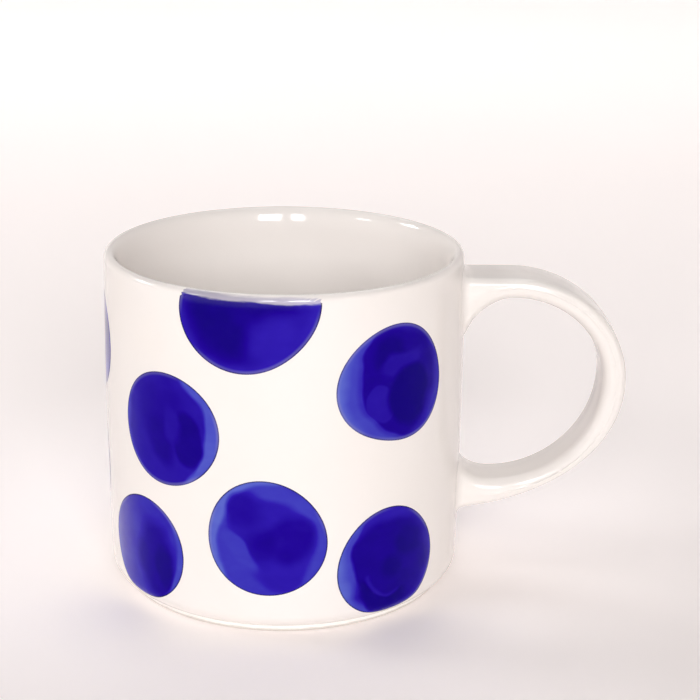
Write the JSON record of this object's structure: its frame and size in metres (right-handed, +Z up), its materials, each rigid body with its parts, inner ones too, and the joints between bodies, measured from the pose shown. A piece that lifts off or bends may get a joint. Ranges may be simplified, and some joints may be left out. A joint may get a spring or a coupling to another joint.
{
  "type": "stoneware mug",
  "caption": "Straight-sided glazed stoneware mug with a strap loop handle, a round lip, a slim foot ring and brushed cobalt spots, for hot drinks.",
  "frame": {"origin": "centre of the footprint's bounding rectangle on the table plane, midway between the cup's far side and the handle's outermost point; the cup's own axis is 19.3 mm towards -X from it", "axes": "+Z up along the cup's axis, +X from the cup towards the handle, -Y the painted front that faces the viewer when the handle is on the right"},
  "size_m": [0.1244, 0.0859, 0.081],
  "materials": {
    "glazed_stoneware": "warm white gloss glaze over pale stoneware, unglazed on the foot's contact band",
    "glazed_slip": "the same warm white gloss glaze, pooled in the fillet at the handle's roots",
    "cobalt_underglaze": "brushed cobalt under clear gloss glaze, darker where the brush overlapped, with a thin dark outline"
  },
  "bodies": {
    "root": {"cup_body": "glazed_stoneware", "handle": "glazed_stoneware", "upper_slip_joint": "glazed_slip", "lower_slip_joint": "glazed_slip", "cobalt_spot_rim_front": "cobalt_underglaze", "cobalt_spot_upper_right": "cobalt_underglaze", "cobalt_spot_middle_left": "cobalt_underglaze", "cobalt_spot_lower_front": "cobalt_underglaze", "cobalt_spot_lower_left": "cobalt_underglaze", "cobalt_spot_lower_right": "cobalt_underglaze", "cobalt_spot_side_upper": "cobalt_underglaze", "cobalt_spot_side_lower": "cobalt_underglaze", "cobalt_spot_back_upper_right": "cobalt_underglaze", "cobalt_spot_back_lower_right": "cobalt_underglaze", "cobalt_spot_back_middle": "cobalt_underglaze", "cobalt_spot_rim_back": "cobalt_underglaze", "cobalt_spot_back_lower": "cobalt_underglaze", "cobalt_spot_back_upper_left": "cobalt_underglaze", "cobalt_spot_back_lower_left": "cobalt_underglaze", "cobalt_spot_rim_back_left": "cobalt_underglaze"}
  },
  "joints": []
}
